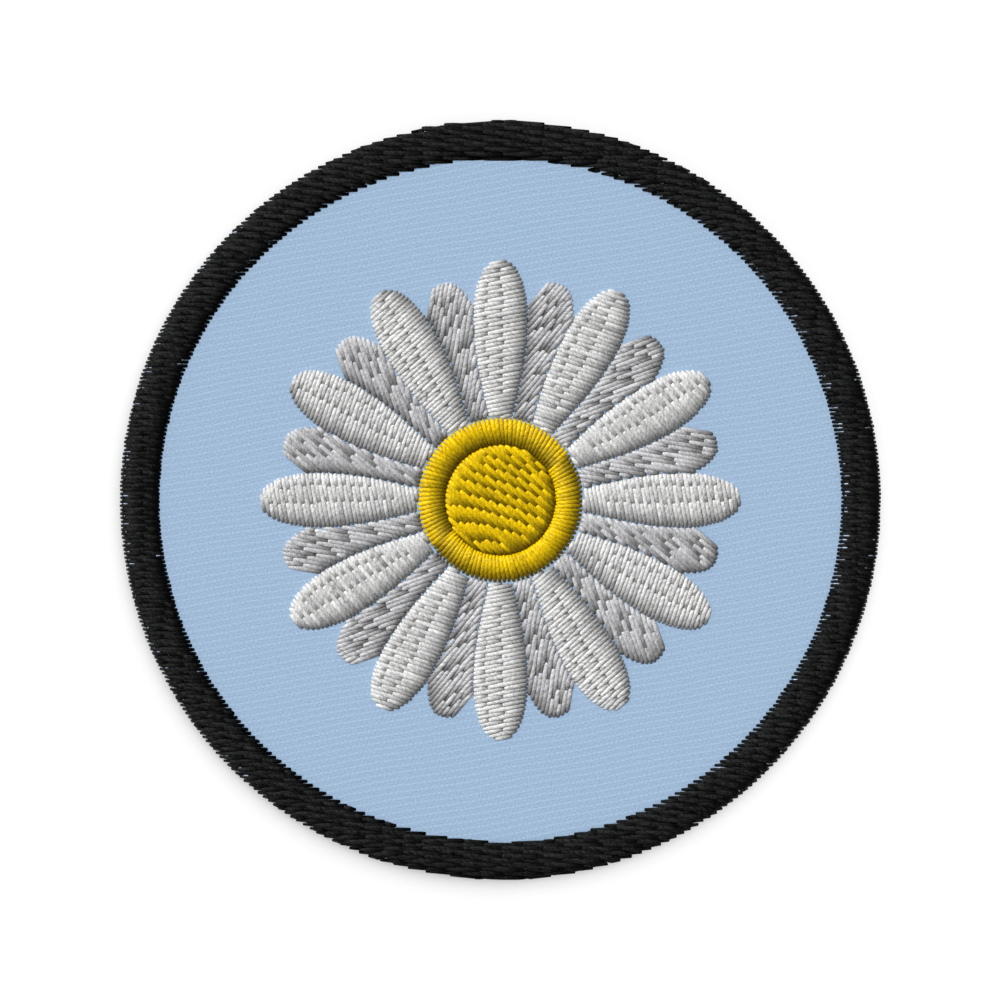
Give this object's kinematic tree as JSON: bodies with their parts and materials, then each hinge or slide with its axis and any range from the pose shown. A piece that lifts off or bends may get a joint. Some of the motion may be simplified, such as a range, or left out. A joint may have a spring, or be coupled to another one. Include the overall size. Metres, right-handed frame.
{
  "type": "embroidered patch",
  "caption": "Round embroidered patch: light blue stiffened twill, a thick black stitched border, and a white, grey and yellow daisy in raised satin and fill stitch.",
  "frame": {"origin": "centre of the patch's back, on the surface it lies on", "axes": "+Z out of the stitched face, +Y towards the top of the design, +X to its right"},
  "size_m": [0.0762, 0.0762, 0.0021],
  "materials": {
    "twill_blue": "light blue twill, matt",
    "thread_black": "black embroidery thread, satin sheen",
    "thread_white": "white embroidery thread, satin sheen",
    "thread_grey": "light grey embroidery thread, satin sheen",
    "thread_yellow": "golden yellow embroidery thread, satin sheen"
  },
  "bodies": {
    "root": {"ground_cloth": "twill_blue", "border": "thread_black", "petal_1": "thread_white", "petal_2": "thread_white", "petal_3": "thread_white", "petal_4": "thread_white", "petal_5": "thread_white", "petal_6": "thread_white", "petal_7": "thread_white", "petal_8": "thread_white", "petal_9": "thread_white", "petal_10": "thread_white", "petal_11": "thread_white", "petal_12": "thread_white", "back_petal_1": "thread_grey", "back_petal_2": "thread_grey", "back_petal_3": "thread_grey", "back_petal_4": "thread_grey", "back_petal_5": "thread_grey", "back_petal_6": "thread_grey", "back_petal_7": "thread_grey", "back_petal_8": "thread_grey", "back_petal_9": "thread_grey", "back_petal_10": "thread_grey", "back_petal_11": "thread_grey", "back_petal_12": "thread_grey", "centre_ring": "thread_yellow", "centre_disc": "thread_yellow"}
  },
  "joints": []
}
